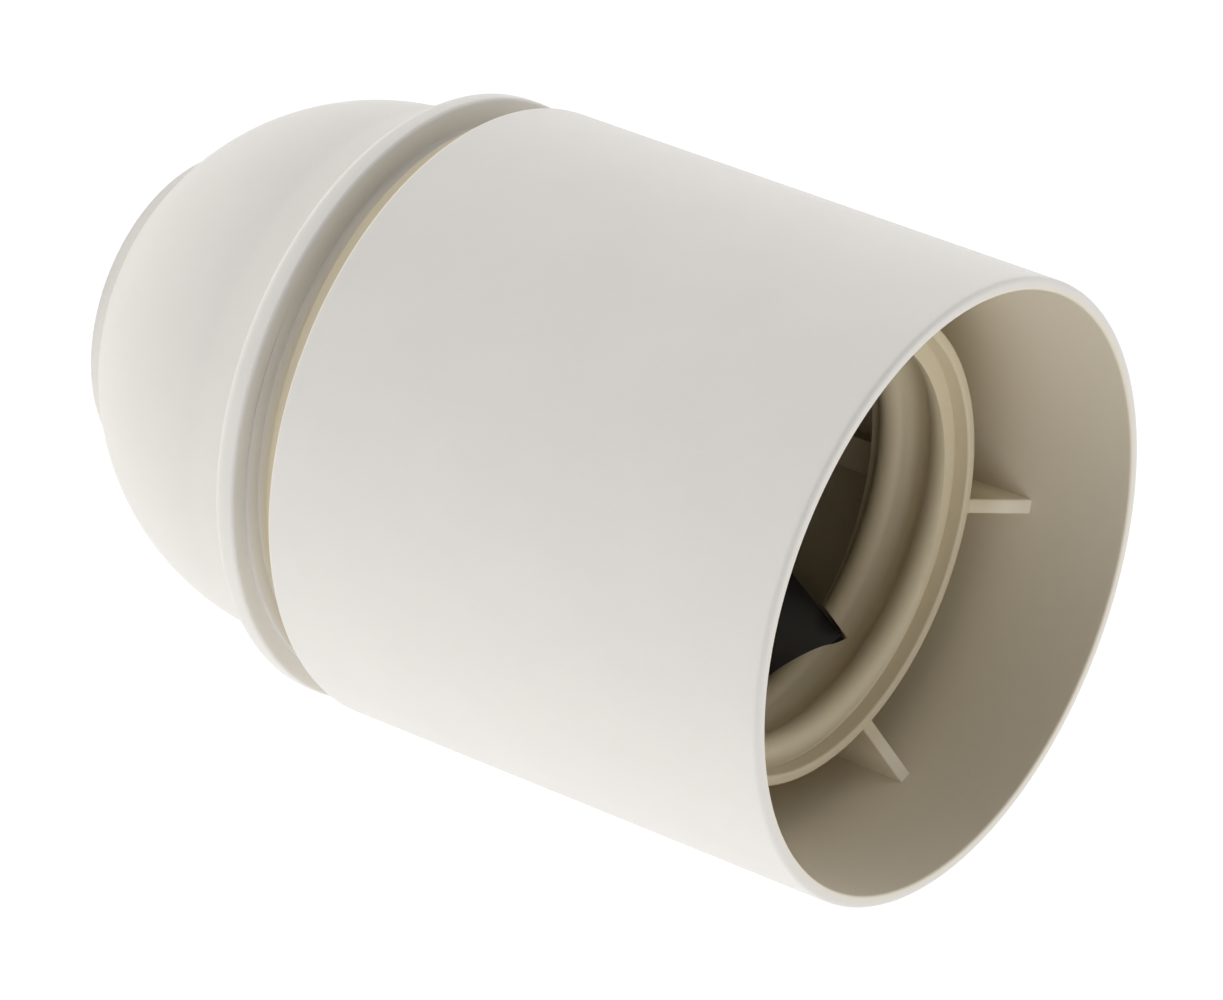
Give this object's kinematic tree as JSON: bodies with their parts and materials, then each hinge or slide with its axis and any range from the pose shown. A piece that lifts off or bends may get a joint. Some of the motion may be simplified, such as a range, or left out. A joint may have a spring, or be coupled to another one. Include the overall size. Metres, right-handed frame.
{
  "type": "screw lamp holder",
  "caption": "Plain white screw lamp holder for an E27 lamp, with a domed cap, threaded cable entry, plain skirt and black contact block with a sprung centre contact.",
  "frame": {"origin": "centre of the flat end of the cap, where the cable entry opens", "axes": "+Z along the axis from the cap to the mouth; the key towers lie on +Y and -Y"},
  "size_m": [0.0376, 0.0376, 0.056],
  "materials": {
    "white_plastic": "satin moulded warm white thermoplastic",
    "black_plastic": "fine grained black moulding",
    "brass": "stamped",
    "bronze": "rolled spring strip",
    "brass_rivet": "upset",
    "contact_brass": "turned and polished",
    "plated_steel": "zinc plated",
    "screw_steel": "zinc plated",
    "spring_steel": "drawn wire"
  },
  "bodies": {
    "cap": {"dome_cap": "white_plastic"},
    "contact_set": {"contact_block": "black_plastic", "live_strip": "brass", "neutral_strip": "brass", "side_contact": "bronze", "side_rivet": "brass_rivet", "live_rivet": "brass_rivet", "neutral_rivet": "brass_rivet", "live_nut": "plated_steel", "neutral_nut": "plated_steel", "centre_spring": "spring_steel"},
    "skirt": {"skirt": "white_plastic"},
    "live_clamp": {"live_clamp": "plated_steel"},
    "live_screw": {"live_screw": "screw_steel"},
    "neutral_clamp": {"neutral_clamp": "plated_steel"},
    "neutral_screw": {"neutral_screw": "screw_steel"},
    "centre_pin": {"centre_pin": "contact_brass"}
  },
  "joints": [
    {"name": "skirt_turn", "type": "hinge", "parent": "cap", "child": "contact_set", "pos_m": [0, 0, 0.0268], "axis": [0, 0, 1], "range_deg": [0, 818.2]},
    {"name": "skirt_rise", "type": "slide", "parent": "contact_set", "child": "skirt", "axis": [0, 0, 1], "range_m": [0, 0.005]},
    {"name": "live_clamp_drop", "type": "slide", "parent": "contact_set", "child": "live_clamp", "axis": [0, 0, -1], "range_m": [0, 0.0025]},
    {"name": "live_screw_turn", "type": "hinge", "parent": "live_clamp", "child": "live_screw", "pos_m": [-0.0096, 0, 0.022], "axis": [0, 0, -1], "range_deg": [0, 1800.1]},
    {"name": "neutral_clamp_drop", "type": "slide", "parent": "contact_set", "child": "neutral_clamp", "axis": [0, 0, -1], "range_m": [0, 0.0025]},
    {"name": "neutral_screw_turn", "type": "hinge", "parent": "neutral_clamp", "child": "neutral_screw", "pos_m": [0.0096, 0, 0.022], "axis": [0, 0, -1], "range_deg": [0, 1800.1]},
    {"name": "centre_pin_press", "type": "slide", "parent": "contact_set", "child": "centre_pin", "axis": [0, 0, -1], "range_m": [0, 0.0014], "stiffness_N_per_m": 2000, "springref_m": -0.0007, "deforming": ["centre_spring"]}
  ],
  "couplings": [
    {"joint": "skirt_turn", "follows": "skirt_rise", "rad_per_m": 2856},
    {"joint": "live_screw_turn", "follows": "live_clamp_drop", "rad_per_m": 12566},
    {"joint": "neutral_screw_turn", "follows": "neutral_clamp_drop", "rad_per_m": 12566}
  ]
}
